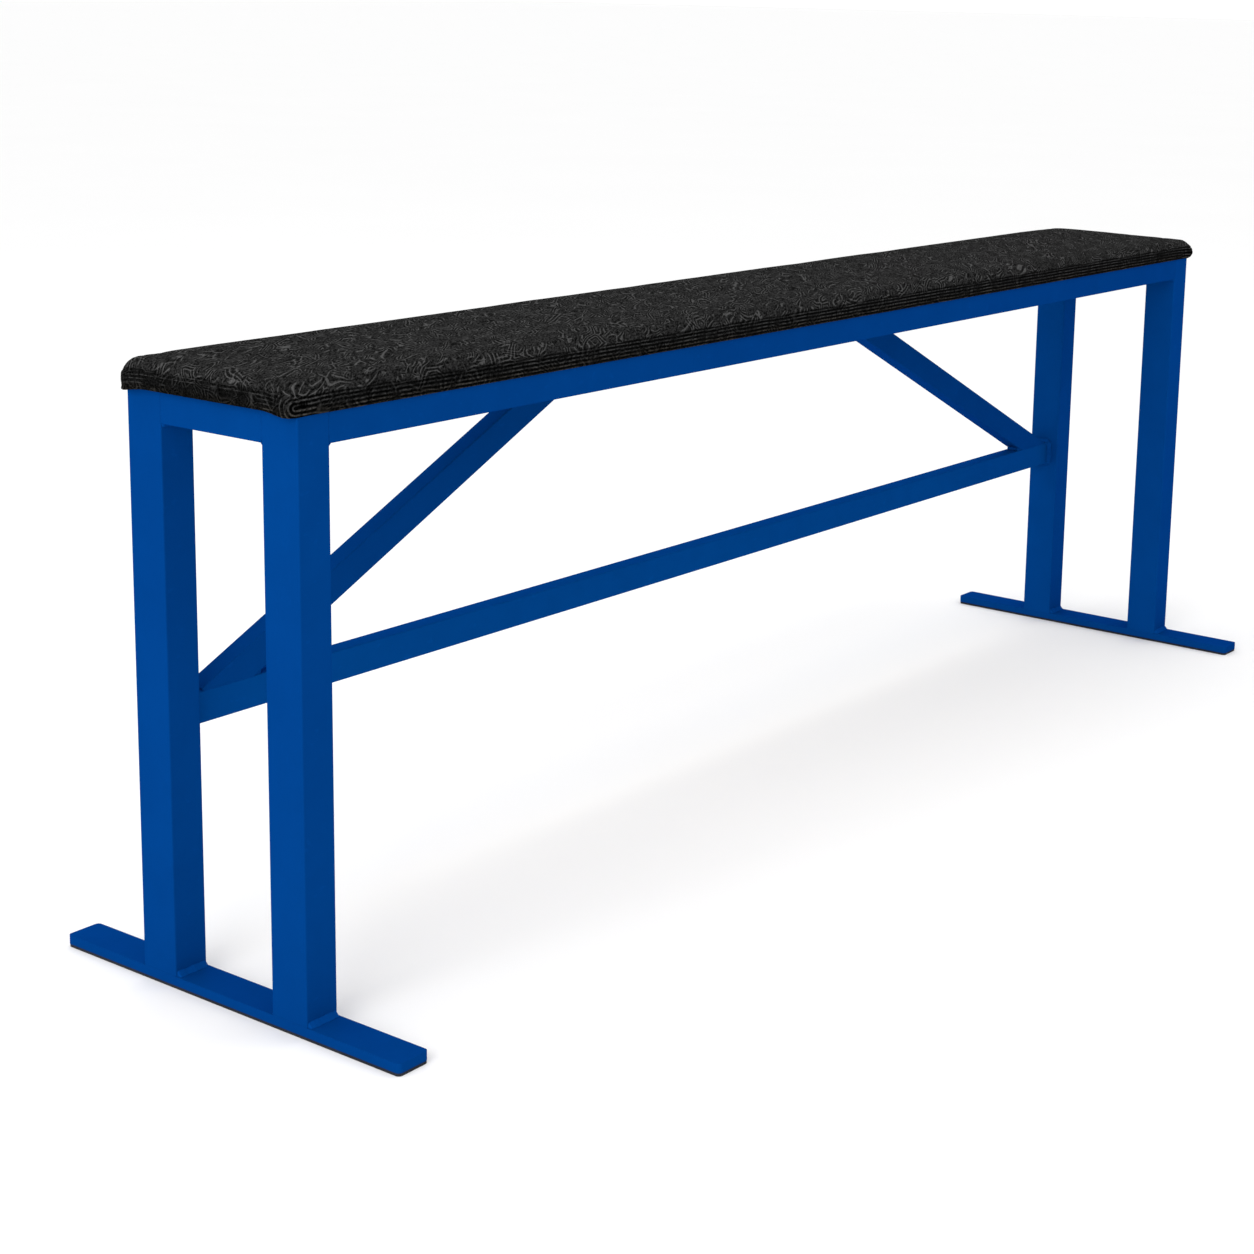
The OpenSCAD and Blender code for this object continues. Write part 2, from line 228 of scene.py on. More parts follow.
def carpet():
    """Short charcoal needle-loop carpet: curled fibre lines on the top, ribs drawn out along the sides."""
    a = Mat("charcoal_carpet")
    side = a.attr("side")
    rib = a.attr("rib")
    crease_shade = a.attr("crease_shade")
    # curled fibres lying in twos and threes side by side, drawn out along the pile's lay
    lay = dict(scale=(3.0, 1.0, 1.0), turn=(0.0, 0.0, 0.62), kind="TEXTURE")

    def strands(scale, pitch, shift, warp, keep):
        at = a.place(shift=shift, **lay)
        bend = a.nt.nodes.new("ShaderNodeTexNoise")
        a.put(bend.inputs["Vector"], at)
        a.put(bend.inputs["Scale"], scale * 0.95)
        a.put(bend.inputs["Detail"], 0.0)
        off = a.nt.nodes.new("ShaderNodeVectorMath")
        off.operation = "MULTIPLY_ADD"
        a.put(off.inputs[0], bend.outputs["Color"])
        off.inputs[1].default_value = (warp, warp, warp)
        a.put(off.inputs[2], at)
        cell = a.nt.nodes.new("ShaderNodeTexVoronoi")
        cell.feature = "DISTANCE_TO_EDGE"
        a.put(cell.inputs["Vector"], off.outputs[0])
        a.put(cell.inputs["Scale"], scale)
        d = cell.outputs["Distance"]
        wave = a.m("SINE", a.m("ADD", a.m("MULTIPLY", d, 6.2832 / (pitch * scale)), 1.5708))
        near = a.ramp(d, 2.6 * pitch * scale, 1.2 * pitch * scale)
        some = a.ramp(a.noise(scale * 1.5, 1.0, 0.5, 0.3, vec=at), keep, keep + 0.07)
        on = a.m("MULTIPLY", near, some)
        return a.m("MULTIPLY", a.ramp(wave, 0.45, 1.0), on), a.m("MULTIPLY", a.ramp(wave, -0.1, -1.0), on)

    c1, d1 = strands(36.0, 0.0041, (1.7, 0.4, 5.0), 0.027, 0.495)
    c2, d2 = strands(50.0, 0.0037, (5.7, 2.4, 0.6), 0.020, 0.525)
    curl, dark = a.m("MAXIMUM", c1, c2), a.m("MAXIMUM", d1, d2)
    top = a.m("SUBTRACT", 1.0, side)
    curl = a.m("MULTIPLY", curl, a.ramp(top, 0.0, 1.0, 0.30, 1.0))
    # pile speckle
    sp1 = a.m("SUBTRACT", a.noise(430.0, 1.0, 0.6, vec=a.place(**lay)), 0.5)
    sp2 = a.m("SUBTRACT", a.noise(760.0, 1.0, 0.6, vec=a.place(shift=(2.0, 9.0, 4.0), **lay)), 0.5)
    blotch = a.m("SUBTRACT", a.noise(14.0, 3.0, 0.5), 0.5)
    speck = a.m("ADD", a.m("MULTIPLY", sp1, 4.6), a.m("ADD", a.m("MULTIPLY", sp2, 2.6), a.m("MULTIPLY", blotch, 0.4)))
    v = a.m("MAXIMUM", a.m("ADD", 1.0, speck), 0.10)
    # the sides get a darker base than the top: painted shade for the light the sides miss and the ribs' own shadow
    base = a.m("MULTIPLY", v, a.ramp(side, 0.0, 1.0, 0.0145, 0.0048))
    base = a.m("ADD", base, a.m("MULTIPLY", curl, 0.046))
    base = a.m("MULTIPLY", base, a.m("SUBTRACT", 1.0, a.m("MULTIPLY", dark, 0.58)))
    # ribs: light crests broken into dashes, partly the cloth's dashed fibres and partly painted highlight on the rib
    # tops; near-black between them, painted shade in the grooves
    dash = a.noise(1.0, 1.0, 0.5, vec=a.place(scale=(240.0, 260.0, 60.0)))
    crest = a.m("MULTIPLY", a.ramp(rib, 0.25, 0.95), a.ramp(dash, 0.40, 0.56, 0.22, 1.0))
    groove_shade = a.ramp(rib, 0.2, -0.8)
    base = a.m("MULTIPLY", base, a.m("SUBTRACT", 1.0, a.m("MULTIPLY", groove_shade, 0.86)))
    base = a.m("ADD", base, a.m("MULTIPLY", crest, 0.034))
    # darker in the creases and the fold and a little over the end faces: painted shade
    base = a.m("MULTIPLY", base, a.m("SUBTRACT", 1.0, a.m("MULTIPLY", crease_shade, 0.6)))
    warm = a.attr("warm")
    col = a.nt.nodes.new("ShaderNodeCombineColor")
    a.put(col.inputs[0], a.m("MULTIPLY", base, a.ramp(warm, 0.0, 1.0, 1.0, 1.07)))
    a.put(col.inputs[1], base)
    a.put(col.inputs[2], a.m("MULTIPLY", base, a.ramp(warm, 0.0, 1.0, 1.0, 0.91)))
    height = a.m("ADD", a.m("MULTIPLY", curl, 0.9), a.m("ADD", a.m("MULTIPLY", sp1, 1.2), a.m("MULTIPLY", dark, -0.6)))
    a.set(Base_Color=col.outputs[0], Roughness=a.ramp(sp2, -0.2, 0.2, 0.86, 0.98), Specular_IOR_Level=0.0,
          Normal=a.bump(height, 0.55, 0.0009))
    a.bsdf.inputs["Sheen Weight"].default_value = 0.004
    a.bsdf.inputs["Sheen Roughness"].default_value = 0.5
    return a.mat


BLUE = paint("blue_enamel", (0.0005, 0.0375, 0.181, 1), (0.0006, 0.0430, 0.200, 1))
# lighter copies of the same enamel for the stretcher and the far posts: painted light
BLUE_STRETCHER_LIT = paint("blue_enamel_stretcher_painted_light", (0.0005, 0.0475, 0.212, 1), (0.0007, 0.0530, 0.230, 1))
BLUE_FAR_POSTS_LIT = paint("blue_enamel_far_painted_light", (0.0005, 0.0400, 0.192, 1), (0.0006, 0.0455, 0.211, 1))
BLUE_WELD = paint("blue_enamel_weld", (0.0005, 0.0400, 0.195, 1), (0.0007, 0.0460, 0.218, 1), weld=True)
NEAR_BLACK_STRIP, PLY, CARPET = near_black_strip(), plywood(), carpet()
ZINC = zinc("zinc_plate", (0.62, 0.63, 0.66, 1))
WIRE = zinc("galvanised_wire", (0.55, 0.55, 0.57, 1))


def dress(node, mat):
    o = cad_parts[node]
    o.data.materials.clear()
    o.data.materials.append(mat)


for n in ("post_near_front", "post_near_rear", "post_far_front", "post_far_rear", "post_caps", "top_rail_front",
          "top_rail_rear", "end_rail_near", "end_rail_far", "stretcher", "brace_near", "brace_far",
          "foot_bar_near", "foot_bar_far", "deck_tabs"):
    dress(n, BLUE)
# the stretcher and the far posts get the lighter copies of the enamel: painted light
dress("stretcher", BLUE_STRETCHER_LIT)
for n in ("post_far_front", "post_far_rear"):
    dress(n, BLUE_FAR_POSTS_LIT)
for n in ("foot_strip_near", "foot_strip_far"):
    dress(n, NEAR_BLACK_STRIP)
dress("deck_board", PLY)
for n in ("deck_bolts", "deck_washers", "tee_nuts"):
    dress(n, ZINC)
dress("cover_staples", WIRE)


# ------------------------------------------------------------------ mesh helpers
def make(name, verts, faces, mat, smooth=True):
    """A mesh object from points in mm, with its faces turned outwards."""
    me = bpy.data.meshes.new(name)
    me.from_pydata((np.asarray(verts, float) * MM).tolist(), [], faces)
    bm = bmesh.new()
    bm.from_mesh(me)
    bmesh.ops.recalc_face_normals(bm, faces=bm.faces)
    bm.to_mesh(me)
    bm.free()
    me.polygons.foreach_set("use_smooth", [smooth] * len(me.polygons))
    me.update()
    o = bpy.data.objects.new(name, me)
    scene.collection.objects.link(o)
    me.materials.append(mat)
    return o


class Beads:
    """Fillet welds and seam fills, gathered into one mesh."""

    def __init__(self):
        self.v, self.f = [], []

    def loft(self, rings):
        k, base = len(rings[0]), len(self.v)
        for r in rings:
            self.v.extend(r)
        for i in range(len(rings) - 1):
            for j in range(k):
                a, b = base + i * k + j, base + i * k + (j + 1) % k
                self.f.append((a, b, b + k, a + k))
        self.f.append(tuple(range(base, base + k)))
        self.f.append(tuple(range(base + (len(rings) - 1) * k, base + len(rings) * k)))

    def fillet(self, p0, p1, u, v, leg, bulge=0.05, pitch=3.3, rip=0.16, taper=0.8, seed=0.0):
        """A weld along p0-p1 between the surface that runs off along u and the one that runs off along v."""
        p0, p1, u, v = (np.array(x, float) for x in (p0, p1, u, v))
        d = p1 - p0
        length = float(np.linalg.norm(d))
        d /= length
        w = (u + v) / np.linalg.norm(u + v)
        n, k = max(10, int(length / 0.8)), 8
        rings = []
        for i in range(n + 1):
            x = length * i / n
            e = min(1.0, min(x, length - x) / (taper * leg) + 0.02)
            sc = math.sqrt(1 - (1 - e) ** 2) * (1 + 0.05 * math.sin(x * 0.31 + seed) + 0.03 * math.sin(x * 0.83 + 2 * seed))
            ring = []
            for j in range(k + 1):
                t = j / k
                crest = 4 * t * (1 - t)
                ph = (x + 0.34 * pitch * crest + seed) / pitch
                fr = ph - math.floor(ph)
                r = rip * math.sqrt(crest) * (math.cos(2 * math.pi * fr ** 0.75))
                q = p0 + d * x + u * leg * sc * (1 - t) + v * leg * sc * t + w * (bulge * leg * crest + r) * sc
                if j == 0:
                    q = q - v * 0.3
                if j == k:
                    q = q - u * 0.3
                ring.append(q)
            ring.append(p0 + d * x - w * 0.8)
            rings.append(ring)
        self.loft(rings)

    def seam(self, p0, p1, out, along, width, depth=0.8):
        """Fills the rounded-off corner beside a flush butt joint, leaving a thin painted groove."""
        p0, p1, out, along = (np.array(x, float) for x in (p0, p1, out, along))
        n = max(4, int(np.linalg.norm(p1 - p0) / 2.0))
        rings = []
        for i in range(n + 1):
            p = p0 + (p1 - p0) * i / n
            g = 0.45 + 0.05 * math.sin(i * 1.7)
            d = depth * (1 + 0.15 * math.sin(i * 2.3))
            prof = [(0, 0), (width * g - 0.75, -0.05), (width * g - 0.3, -0.75 * d), (width * g, -d),
                    (width * g + 0.3, -0.75 * d), (width * g + 0.75, -0.05), (width, 0.0), (width, -3.2), (0, -3.2)]
            rings.append([p + along * a + out * b for a, b in prof])
        self.loft(rings)

    def done(self, name, replaced):
        o = make(name, self.v, self.f, BLUE_WELD)
        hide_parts(replaced)
        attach(o, "root")
        return o


def signs():
    return [(sx, sy) for sx in (-1, 1) for sy in (-1, 1)]


# ------------------------------------------------------------------ welds
w = Beads()
for sx, sy in signs():
    for yy, uy in ((YO, sy), (YI, -sy)):
        leg = 7.5 if uy < 0 else 4.5
        w.fillet((sx * (X0 + 1.5), sy * yy, ZF), (sx * (X1 - 1.5), sy * yy, ZF), (0, uy, 0), (0, 0, 1), leg,
                 bulge=-0.02, seed=sx + 2.3 * sy, taper=0.25)
w.done("welds_at_feet", "weld_beads_feet")

w = Beads()
PR = 2.0  # corner radius of the posts
for sx, sy in signs():
    s = 1.9 * sx + 0.7 * sy
    w.fillet((sx * X0, sy * (YR + 1.5), ZR), (sx * X0, sy * (YO - 1.5), ZR), (-sx, 0, 0), (0, 0, -1), 5.0, seed=s, taper=0.4)
    w.fillet((sx * X0, sy * YR, ZR + 1), (sx * X0, sy * YR, ZT - 2), (-sx, 0, 0), (0, -sy, 0), 4.5, seed=s + 1, taper=0.5)
    w.fillet((sx * (XE + 1.5), sy * YI, ZR), (sx * (X1 - 1.5), sy * YI, ZR), (0, -sy, 0), (0, 0, -1), 5.0, seed=s + 2, taper=0.4)
    w.fillet((sx * XE, sy * YI, ZR + 1), (sx * XE, sy * YI, ZT - 2), (0, -sy, 0), (-sx, 0, 0), 4.5, seed=s + 3, taper=0.5)
    w.seam((sx * X0, sy * YO, ZR + 3), (sx * X0, sy * YO, ZT - 0.5), (0, sy, 0), (sx, 0, 0), PR)
    w.seam((sx * X1, sy * YI, ZR + 3), (sx * X1, sy * YI, ZT - 0.5), (sx, 0, 0), (0, sy, 0), PR)
w.done("welds_top_frame", "weld_beads_top_frame")

w = Beads()
for sx in (-1, 1):
    x = sx * X0
    u = (-sx, 0, 0)
    w.fillet((x, YS0 - 2, ZS1), (x, YS1 + 2, ZS1), u, (0, 0, 1), 7.0, seed=sx, taper=0.5)
    w.fillet((x, YS0 - 2, ZS0), (x, YS1 + 2, ZS0), u, (0, 0, -1), 7.0, seed=sx + 1, taper=0.5)
    w.fillet((x, YS0, ZS0 - 2), (x, YS0, ZS1 + 2), u, (0, -1, 0), 7.0, seed=sx + 2, taper=0.5)
    w.fillet((x, YS1, ZS0 - 2), (x, YS1, ZS1 + 2), u, (0, 1, 0), 6.0, seed=sx + 3, taper=0.5)
w.done("welds_stretcher", "weld_beads_stretcher")

# each brace: its face lines at the rail and at the stretcher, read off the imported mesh
w = Beads()
for sx, node in ((-1, "brace_near"), (1, "brace_far")):
    co = np.array([v.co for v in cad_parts[node].data.vertices]) / MM
    hi, lo = co[co[:, 2] > ZR - 0.2], co[co[:, 2] < ZS1 + 0.2]
    hx0, hx1 = sorted((abs(hi[:, 0]).min(), abs(hi[:, 0]).max()))
    lx0, lx1 = sorted((abs(lo[:, 0]).min(), abs(lo[:, 0]).max()))
    d = np.array([lx0 - hx0, 0, ZS1 - ZR])
    d /= np.linalg.norm(d)
    d[0] *= sx
    ya, yb = YS0 + 1.5, YS1 - 1.5
    w.fillet((sx * hx0, ya, ZR), (sx * hx0, yb, ZR), (-sx, 0, 0), d, 8.0, seed=sx, bulge=0.16, taper=0.4)
    w.fillet((sx * hx1, ya, ZR), (sx * hx1, yb, ZR), (sx, 0, 0), d, 13.0, seed=sx + 1, bulge=0.0, taper=0.2)
    w.fillet((sx * lx0, ya, ZS1), (sx * lx0, yb, ZS1), (-sx, 0, 0), -d, 13.0, seed=sx + 2, bulge=0.0, taper=0.2)
    w.fillet((sx * lx1, ya, ZS1), (sx * lx1, yb, ZS1), (sx, 0, 0), -d, 8.0, seed=sx + 3, bulge=0.16, taper=0.4)
    # along both cheeks, in the valley left by the rounded tube corners
    for y, s in ((YS0, 1), (YS1, -1)):
        w.fillet((sx * (lx0 + 1), y + s * 1.5, ZS1 - 0.4), (sx * (lx1 - 1), y + s * 1.5, ZS1 - 0.4), (0, -s, -0.35), (0, -s, 0.8), 1.5, bulge=0.1,
                 seed=sx + s, taper=1.0)
        w.fillet((sx * (hx0 + 1), y + s * 1.5, ZR + 0.4), (sx * (hx1 - 1), y + s * 1.5, ZR + 0.4), (0, -s, 0.35), (0, -s, -0.8), 1.5, bulge=0.1,
                 seed=sx + s + 4, taper=1.0)
w.done("welds_braces", "weld_beads_braces")

w = Beads()
co = np.array([v.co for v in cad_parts["deck_tabs"].data.vertices]) / MM
TZ = float(TAB_LO[2])
for sy in (-1, 1):
    xs = co[np.sign(co[:, 1]) == sy][:, 0]
    groups = np.split(np.sort(xs), np.where(np.diff(np.sort(xs)) > 100)[0] + 1)
    for g in groups:
        c = (g.min() + g.max()) / 2
        h = (g.max() - g.min()) / 2 - 3
        w.fillet((c - h, sy * YR, TZ), (c + h, sy * YR, TZ), (0, -sy, 0), (0, 0, -1), 3.4, seed=c * 0.01, taper=0.8)
w.done("welds_tabs", "weld_beads_tabs")


# ------------------------------------------------------------------ padded top
A, B = float(PAD_HI[0]), float(PAD_HI[1])
Z_TOP = float(PAD_HI[2])
RC = 17.0  # plan radius of the corners
RE = 14.0  # radius of the padded edge
IN_X, IN_Y = 1113.0, 100.5  # inner edge of the turned-under return
TIN_X, TIN_Y = A - 62.0, B - 60.0  # where the top's rings end and its grid starts


def sstep(t):
    t = min(1.0, max(0.0, t))
    return t * t * (3 - 2 * t)


def half_stops(half):
    """Distances from a corner's middle to the middle of a side: fine by the corner, coarse in between."""
    arc = RC * math.pi / 4
    s = [arc * i / 9 for i in range(10)]
    s += [arc + 2.25 * i for i in range(1, 21)]
    rest = half - s[-1]
    n = max(2, round(rest / 8.0))
    s += [s[-1] + rest * i / n for i in range(1, n + 1)]
    return s


def columns():
    """Every column of the pad: plan point, outward direction, inner-rectangle share, distance from its corner."""
    cols = []
    sides = [((-A, -B), (1, 0), (0, -1), A), ((A, -B), (0, 1), (1, 0), B), ((A, B), (-1, 0), (0, 1), A), ((-A, B), (0, -1), (-1, 0), B)]
    for k, (c0, d, n, half) in enumerate(sides):
        c0, d, n = np.array(c0, float), np.array(d, float), np.array(n, float)
        arc = RC * math.pi / 4
        hs = half_stops(half - RC + arc)
        full = 2 * hs[-1]
        us = hs + [full - u for u in hs[-2::-1]]
        for i, u in enumerate(us[:-1]):
            m = min(u, full - u)
            if m < arc:
                g = math.pi / 4 - m / RC
                sgn = -1 if u < full / 2 else 1
                nn = d * sgn * math.sin(g) + n * math.cos(g)
                cc = (c0 + d * RC if sgn < 0 else c0 + d * (2 * half - RC)) - n * RC
                p = cc + nn * RC
            else:
                nn = n
                p = c0 + d * (RC + u - arc)
            cols.append({"p": p, "n": nn, "side": k, "share": u / full, "m": m, "u": u, "full": full,
                         "first": u < full / 2, "i": i, "count": len(us) - 1})
    return cols


def inner_point(c, hx, hy):
    corners = [(-hx, -hy), (hx, -hy), (hx, hy), (-hx, hy), (-hx, -hy)]
    a, b = np.array(corners[c["side"]], float), np.array(corners[c["side"] + 1], float)
    return a + (b - a) * c["share"]


COLS = columns()
N = len(COLS)
BX, BY, BR = float(BOARD_HI[0]), float(BOARD_HI[1]), 10.5  # the board inside the cover


def off_board(x, y):
    """How far a plan point lies outside the board's rounded outline, and the way out."""
    dx, dy = abs(x) - (BX - BR), abs(y) - (BY - BR)
    sx, sy = math.copysign(1.0, x), math.copysign(1.0, y)
    if dx > 0 and dy > 0:
        r = math.hypot(dx, dy)
        return r - BR, (sx * dx / r, sy * dy / r)
    return (dx - BR, (sx, 0.0)) if dx > dy else (dy - BR, (0.0, sy))



def n3(x, y, z, s=1.0):
    return noise.noise(Vector((x * s, y * s, z * s)))


def build_pad():
    rows = []  # unused, left empty
    meta = []  # meant per ring, per column: (height along the side, how much side, rib, crease_shade, warm), but left empty
    LIP_L = [(3.4, 0.0), (3.2, -0.9), (2.5, -1.9), (1.5, -2.3), (0.7, -1.9), (0.2, -0.9), (0.0, 0.2)]
    LIP_E = [(15.0, 0.0), (11.0, 0.4), (7.0, 0.9), (4.0, 1.3), (2.0, 1.8), (0.7, 3.0), (0.0, 5.2)]
    NS, NR, NT_ = 26, 20, 12
    cols_out = []
    for c in COLS:
        end = c["side"] in (1, 3)
        we = sstep((c["m"] - 4.0) / 42.0) if end else 0.0
        corner = 1.0 - sstep(c["m"] / 34.0)
        p, n = c["p"], c["n"]
        prof = []  # (x, y, z, h, part)
        zt = ZT + 0.12
        inn = inner_point(c, IN_X, IN_Y)
        edge_in = 3.4 + (15.0 - 3.4) * we
        outer = p - n * edge_in
        prof.append((inn[0], inn[1], float(BOARD_LO[2]) - 0.25, 0.0, "f"))
        for t in (0.0, 0.05, 0.3, 0.6, 0.85, 1.0):
            q = inn + (outer - inn) * t
            z = zt if t > 0.0 else zt + 0.4
            prof.append((q[0], q[1], z, 0.0, "f"))
        sag = 1.0 + 0.30 * corner
        re_c = (RE if c["side"] != 2 else RE - 4.0 * sstep((c["m"] - 30.0) / 60.0)) + 6.0 * (1.0 - sstep(c["m"] / 30.0))
        for (il, zl), (ie, ze) in list(zip(LIP_L, LIP_E))[1:]:
            ins = il + (ie - il) * we
            z = ZT + (zl * (sag if zl < 0 else 1)) * (1 - we) + ze * we
            q = p - n * ins
            prof.append((q[0], q[1], z, 0.0, "l"))
        z0 = prof[-1][2]
        zr = Z_TOP - re_c
        for i in range(1, NS + 1):
            q = p
            prof.append((q[0], q[1], z0 + (zr - z0) * i / NS, 0.0, "s"))
        for i in range(1, NR + 1):
            g = math.pi / 2 * i / NR
            q = p - n * re_c * (1 - math.cos(g))
            prof.append((q[0], q[1], zr + re_c * math.sin(g), 0.0, "r"))
        a = p - n * re_c
        tin = inner_point(c, TIN_X, TIN_Y)
        for i in range(1, NT_ + 1):
            t = (i / NT_) ** 1.15
            q = a + (tin - a) * t
            prof.append((q[0], q[1], Z_TOP, 0.0, "t"))
        cols_out.append(prof)
    rings = len(cols_out[0])
    P = np.array([[pt[:3] for pt in col] for col in cols_out])  # column, ring, xyz
    part = [pt[4] for pt in cols_out[0]]
    return P, part, rings


P, PART, RINGS = build_pad()
i_lip = PART.index("l") + 2
# height up the cloth from the lowest point of the lip
H = np.zeros((N, RINGS))
for j in range(i_lip + 1, RINGS):
    H[:, j] = H[:, j - 1] + np.linalg.norm(P[:, j] - P[:, j - 1], axis=1)

PITCH = 4.8
side_a = np.zeros((N, RINGS))
rib_a = np.zeros((N, RINGS))
painted_shade_a = np.zeros((N, RINGS))
warm_a = np.zeros((N, RINGS))
push = np.zeros((N, RINGS))
LOOPS = [(34.6, 34.0), (-26.0, 28.0), (-89.3, 20.0)]  # loose loops hanging down the near end: place, reach
PINCH_S, PINCH_H = 7.0, 11.5  # the gathered point of each corner: along the long side, up the cloth
for i, c in enumerate(COLS):
    end = c["side"] in (1, 3)
    # signed distance round the corner from its middle: positive on the long side, negative on the end
    s = c["m"] * (-1 if end else 1)
    px, py = c["p"]
    gx = px if not end else py
    for j in range(RINGS):
        if PART[j] == "f":
            continue
        h = H[i, j]
        if PART[j] == "t":
            side_a[i, j] = 0.0
            if j > RINGS - 9:
                continue
        hh = h if j >= i_lip else 0.0
        # the cloth turns from side to top over the rounded edge
        wander = 2.2 * n3(px, py, 0.0, 0.021) + 0.9 * n3(px, py, 5.0, 0.09)
        reach = (20.5 if not end else 24.0) + wander
        sd = 1.0 - sstep((hh - reach) / 6.0)
        side_a[i, j] = sd
        wob = 0.55 * n3(px, py, hh * 0.7, 0.035) + 0.22 * n3(px, py, hh, 0.16)
        ph = (hh + wob) / PITCH
        amp = 1.0
        # wrap round the gathered point near each corner
        ds, dh = s - PINCH_S, hh - PINCH_H
        if ds >= 0:
            dist = abs(dh)
        else:
            dist = math.hypot(ds, dh)
        wrap = 1.0 - sstep((abs(ds) - 16.0) / 18.0) if ds < 0 else 1.0 - sstep((ds - 22.0) / 26.0)
        phw = (dist + 0.4 * wob) / (PITCH * 1.12)
        r1 = math.cos(2 * math.pi * (ph - 0.25))
        r2 = math.cos(2 * math.pi * (phw - 0.5))
        r = r1 * (1 - wrap) + r2 * wrap
        if end:
            away = sstep((c["m"] - 30) / 30.0)
            low = 1.0 - sstep((hh - 15.0) / 6.0)
            amp *= 1.0 - 0.72 * away * low
        amp *= 0.75 + 0.5 * n3(px, py, hh * 1.5 + 9.0, 0.05)
        amp *= 1.0 + 0.8 * wrap
        # a few creases across the ribs
        tk = n3(px * 0.055, py * 0.055, 40.0 + (0.0 if not end else 7.0))
        fine = n3(px * 0.5, py * 0.5, hh * 0.05 + 3.0)
        crease_shade = sstep((fine - 0.36) / 0.10) * sstep((tk + 0.15) / 0.3) * sd
        # deep fold that runs from the gathered point along the long side
        fold = 0.0
        if ds > -3.0:
            fold = math.exp(-((dh - 1.0 - 0.02 * ds) / 2.4) ** 2) * sstep((ds + 3.0) / 5.0) * (1.0 - sstep((ds - 8.0) / 16.0))
        # the creases and the fold are marked for darkening in the carpet, and the end faces a little all over: painted
        # shade
        painted_shade_a[i, j] = min(1.0, crease_shade + 0.8 * fold + (0.30 * sd if end else 0.0))
        warm_a[i, j] = sd * (1.0 - sstep((hh - 5.0) / 9.0))
        push[i, j] = sd * (0.42 * r * amp) - 0.45 * crease_shade - 1.7 * fold * (1 if hh > 1.5 else 0)
        rib_a[i, j] = max(-1.0, min(1.0, r * amp * sd - 1.3 * fold))
        if end and px < 0:
            for y0, far in LOOPS:
                g = math.exp(-((py - y0 - 2.0 * n3(hh * 0.08, y0, 3.0)) / 1.3) ** 2) * (1.0 - sstep((hh - far) / 4.0))
                rib_a[i, j] = max(rib_a[i, j], 0.95 * g)
                push[i, j] += 0.3 * g
        if hh < 1.0:
            push[i, j] *= hh
        # the corner bulges a little over the gathered point
        push[i, j] += 1.1 * math.exp(-((s + 2) / 16.0) ** 2) * math.exp(-((hh - 20.0) / 9.0) ** 2)
        push[i, j] += 0.35 * n3(px, py, hh, 0.011) * sstep(hh / 6.0)
        # the cover is pulled tighter at the near end than at the far one
        push[i, j] += (6.0 if px > 0 else -1.0) * (1.0 if end else sstep((30.0 - c["m"]) / 30.0)) * sstep(hh / 8.0) * sd
        if PART[j] in "sl":
            push[i, j] = max(push[i, j], 0.45 - off_board(px, py)[0])

# outward direction of every point of the section, by ring neighbours
T = np.zeros_like(P)
T[:, 1:-1] = P[:, 2:] - P[:, :-2]
T[:, 0] = P[:, 1] - P[:, 0]
T[:, -1] = P[:, -1] - P[:, -2]
NRM2 = np.array([c["n"] for c in COLS])
NORMAL = np.zeros_like(P)
horiz = T[:, :, 0] * NRM2[:, None, 0] + T[:, :, 1] * NRM2[:, None, 1]
vert = T[:, :, 2]
ln = np.hypot(horiz, vert) + 1e-9
NORMAL[:, :, 0] = NRM2[:, None, 0] * vert / ln
NORMAL[:, :, 1] = NRM2[:, None, 1] * vert / ln
NORMAL[:, :, 2] = -horiz / ln
P2 = P + NORMAL * push[:, :, None]

# the top grid inside the last ring
front = [i for i, c in enumerate(COLS) if c["side"] == 0] + [[i for i, c in enumerate(COLS) if c["side"] == 1][0]]
right = [i for i, c in enumerate(COLS) if c["side"] == 1] + [[i for i, c in enumerate(COLS) if c["side"] == 2][0]]
gx = P[front, -1, 0]
gy = P[right, -1, 1]
verts = P2.reshape(-1, 3).tolist()
attr_side, attr_rib, attr_painted_shade, attr_warm = (a.reshape(-1).tolist() for a in (side_a, rib_a, painted_shade_a, warm_a))


def vid(i, j):
    return (i % N) * RINGS + j


faces = []
for i in range(N):
    for j in range(RINGS - 1):
        faces.append((vid(i, j), vid(i + 1, j), vid(i + 1, j + 1), vid(i, j + 1)))
back = [i for i, c in enumerate(COLS) if c["side"] == 2] + [[i for i, c in enumerate(COLS) if c["side"] == 3][0]]
left = [i for i, c in enumerate(COLS) if c["side"] == 3] + [0]
nx, ny = len(gx), len(gy)
grid = np.full((nx, ny), -1)
for a in range(nx):
    grid[a, 0] = vid(front[a], RINGS - 1)
    grid[a, ny - 1] = vid(back[nx - 1 - a], RINGS - 1)
for b in range(ny):
    grid[nx - 1, b] = vid(right[b], RINGS - 1)
    grid[0, b] = vid(left[ny - 1 - b], RINGS - 1)
for a in range(1, nx - 1):
    for b in range(1, ny - 1):
        grid[a, b] = len(verts)
        verts.append([gx[a], gy[b], Z_TOP])
        attr_side.append(0.0)
        attr_rib.append(0.0)
        attr_painted_shade.append(0.0)
        attr_warm.append(0.0)
for a in range(nx - 1):
    for b in range(ny - 1):
        faces.append((int(grid[a, b]), int(grid[a + 1, b]), int(grid[a + 1, b + 1]), int(grid[a, b + 1])))
# closed underneath by a sheet hidden inside the board
cap0 = len(verts)
for i, c in enumerate(COLS):
    q = inner_point(c, IN_X - 0.8, IN_Y - 0.8)
    verts.append([q[0], q[1], float(BOARD_LO[2]) + 1.0])
    attr_side.append(0.0); attr_rib.append(0.0); attr_painted_shade.append(0.0); attr_warm.append(0.0)
for i in range(N):
    faces.append((cap0 + (i + 1) % N, vid(i + 1, 0), vid(i, 0), cap0 + i))
faces.append(tuple(cap0 + i for i in range(N)))

